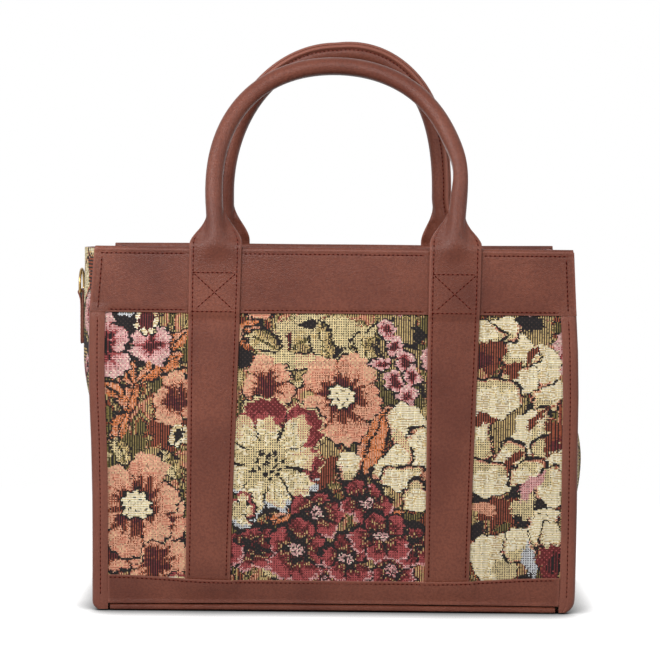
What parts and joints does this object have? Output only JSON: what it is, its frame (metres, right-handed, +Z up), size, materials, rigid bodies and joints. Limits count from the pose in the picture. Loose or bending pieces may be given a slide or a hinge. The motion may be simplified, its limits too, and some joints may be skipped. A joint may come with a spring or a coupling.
{
  "type": "satchel",
  "caption": "Open-topped structured satchel of woven floral cloth on a leather base, with leather bands, edge bindings and straps, rolled handles and a D-ring on each gusset.",
  "frame": {"origin": "centre of the base, on the surface that the bag stands on", "axes": "+X to the right as the front is seen, +Y from the front to the back, +Z up"},
  "size_m": [0.3559, 0.1347, 0.396],
  "materials": {
    "tapestry": "woven floral cloth with a stiff backing",
    "leather": "fine-grained reddish-brown leather, half matt",
    "lining": "plain woven lining cloth",
    "board": "grey fibre board",
    "brass": "polished pale brass"
  },
  "bodies": {
    "bag": {"front_panel": "tapestry", "back_panel": "tapestry", "left_gusset": "tapestry", "right_gusset": "tapestry", "base_panel": "leather", "base_board": "board", "lining": "lining", "front_top_band": "leather", "back_top_band": "leather", "front_bottom_band": "leather", "back_bottom_band": "leather", "front_left_binding": "leather", "front_right_binding": "leather", "back_left_binding": "leather", "back_right_binding": "leather", "front_left_strap": "leather", "front_right_strap": "leather", "back_left_strap": "leather", "back_right_strap": "leather", "left_ring_tab": "leather", "right_ring_tab": "leather", "snap_socket": "brass", "snap_stud": "brass"},
    "front_handle_body": {"front_handle": "leather"},
    "back_handle_body": {"back_handle": "leather"},
    "left_ring_body": {"left_ring": "brass"},
    "right_ring_body": {"right_ring": "brass"}
  },
  "joints": [
    {"name": "front_handle_swing", "type": "hinge", "parent": "bag", "child": "front_handle_body", "pos_m": [0, -0.0661, 0.25116], "axis": [1, 0, 0], "range_deg": [-8, 120]},
    {"name": "back_handle_swing", "type": "hinge", "parent": "bag", "child": "back_handle_body", "pos_m": [0, 0.0661, 0.25076], "axis": [-1, 0, 0], "range_deg": [-12, 105]},
    {"name": "left_ring_swing", "type": "hinge", "parent": "bag", "child": "left_ring_body", "pos_m": [-0.1806, 0, 0.216], "axis": [0, -1, 0], "range_deg": [-3, 165]},
    {"name": "right_ring_swing", "type": "hinge", "parent": "bag", "child": "right_ring_body", "pos_m": [0.1656, 0, 0.216], "axis": [0, 1, 0], "range_deg": [-3, 165]}
  ]
}
